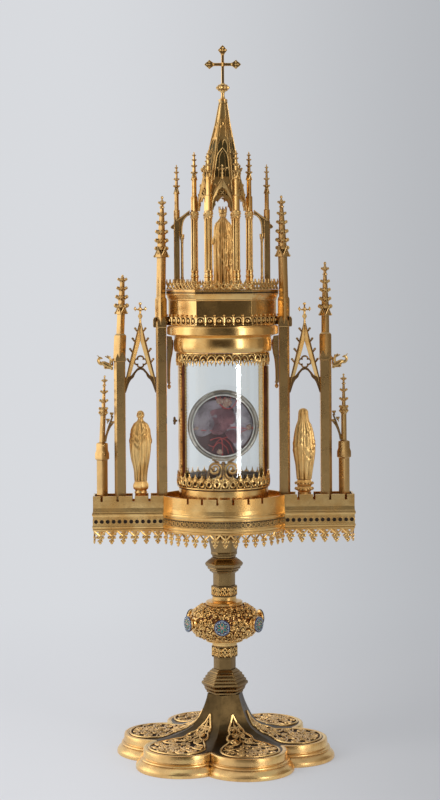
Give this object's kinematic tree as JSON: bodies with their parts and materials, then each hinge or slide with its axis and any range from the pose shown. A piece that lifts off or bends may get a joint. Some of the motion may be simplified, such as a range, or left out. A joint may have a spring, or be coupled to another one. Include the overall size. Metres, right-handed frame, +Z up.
{
  "type": "tower reliquary",
  "caption": "Gilt-brass Gothic tower reliquary: a glass cylinder with a relic capsule under a spired canopy, gabled niches at its sides, on a stem with a knop and a lobed foot.",
  "frame": {"origin": "centre of the foot's flat underside", "axes": "+Z up through the stem, +X along the platform, -Y towards the reliquary's reverse"},
  "size_m": [0.2648, 0.213, 0.7086],
  "materials": {
    "gilt_brass": "fire-gilt, polished with darkened recesses",
    "aged_gilt": "gilt, toned brown, worn satin",
    "clear_glass": "clear, slightly wavy",
    "enamel": "glossy blue and green enamel in gilt rims",
    "silver_ring": "silvered, milled edge",
    "burgundy_silk": "watered silk with red thread",
    "sealing_wax": "pressed wax, semi-gloss"
  },
  "bodies": {
    "root": {"foot": "aged_gilt", "stem_lower_collar": "aged_gilt", "stem_lower_shaft": "aged_gilt", "knop": "gilt_brass", "stem_upper_shaft": "aged_gilt", "stem_upper_collar": "aged_gilt", "platform_funnel": "aged_gilt", "knop_medallion_1": "enamel", "knop_medallion_2": "enamel", "knop_medallion_3": "enamel", "knop_medallion_4": "enamel", "knop_medallion_5": "enamel", "knop_medallion_6": "enamel", "platform": "gilt_brass", "platform_crest": "gilt_brass", "vessel_base": "gilt_brass", "vessel_base_crest": "gilt_brass", "glass_cylinder": "clear_glass", "vessel_strip_right": "gilt_brass", "vessel_strip_left": "gilt_brass", "latch_screw": "aged_gilt", "vessel_top_crest": "gilt_brass", "relic_capsule": "silver_ring", "capsule_stand": "gilt_brass", "vessel_cap": "gilt_brass", "hexagon_drum": "gilt_brass", "arcade_crest": "gilt_brass", "parapet_crest": "aged_gilt", "small_pier_right": "gilt_brass", "small_pier_left": "gilt_brass", "outer_pier_right": "gilt_brass", "outer_pier_left": "gilt_brass", "inner_pier_right": "gilt_brass", "inner_pier_left": "gilt_brass", "side_gable_right": "gilt_brass", "side_gable_left": "gilt_brass", "gargoyle_right": "aged_gilt", "gargoyle_left": "aged_gilt", "leaf_branch_right": "aged_gilt", "leaf_branch_left": "aged_gilt", "drum_bracket_right": "gilt_brass", "drum_bracket_left": "gilt_brass", "bareheaded_figure": "gilt_brass", "veiled_figure": "gilt_brass", "crowned_figure": "gilt_brass", "figure_pedestal_left": "gilt_brass", "figure_pedestal_right": "gilt_brass", "canopy_column_1": "gilt_brass", "canopy_column_2": "gilt_brass", "canopy_column_3": "gilt_brass", "canopy_column_4": "gilt_brass", "canopy_column_5": "gilt_brass", "canopy_column_6": "gilt_brass", "flyer_pier_right": "gilt_brass", "flyer_pier_left": "gilt_brass", "canopy_roof": "gilt_brass", "cross_finial": "gilt_brass"}
  },
  "joints": []
}
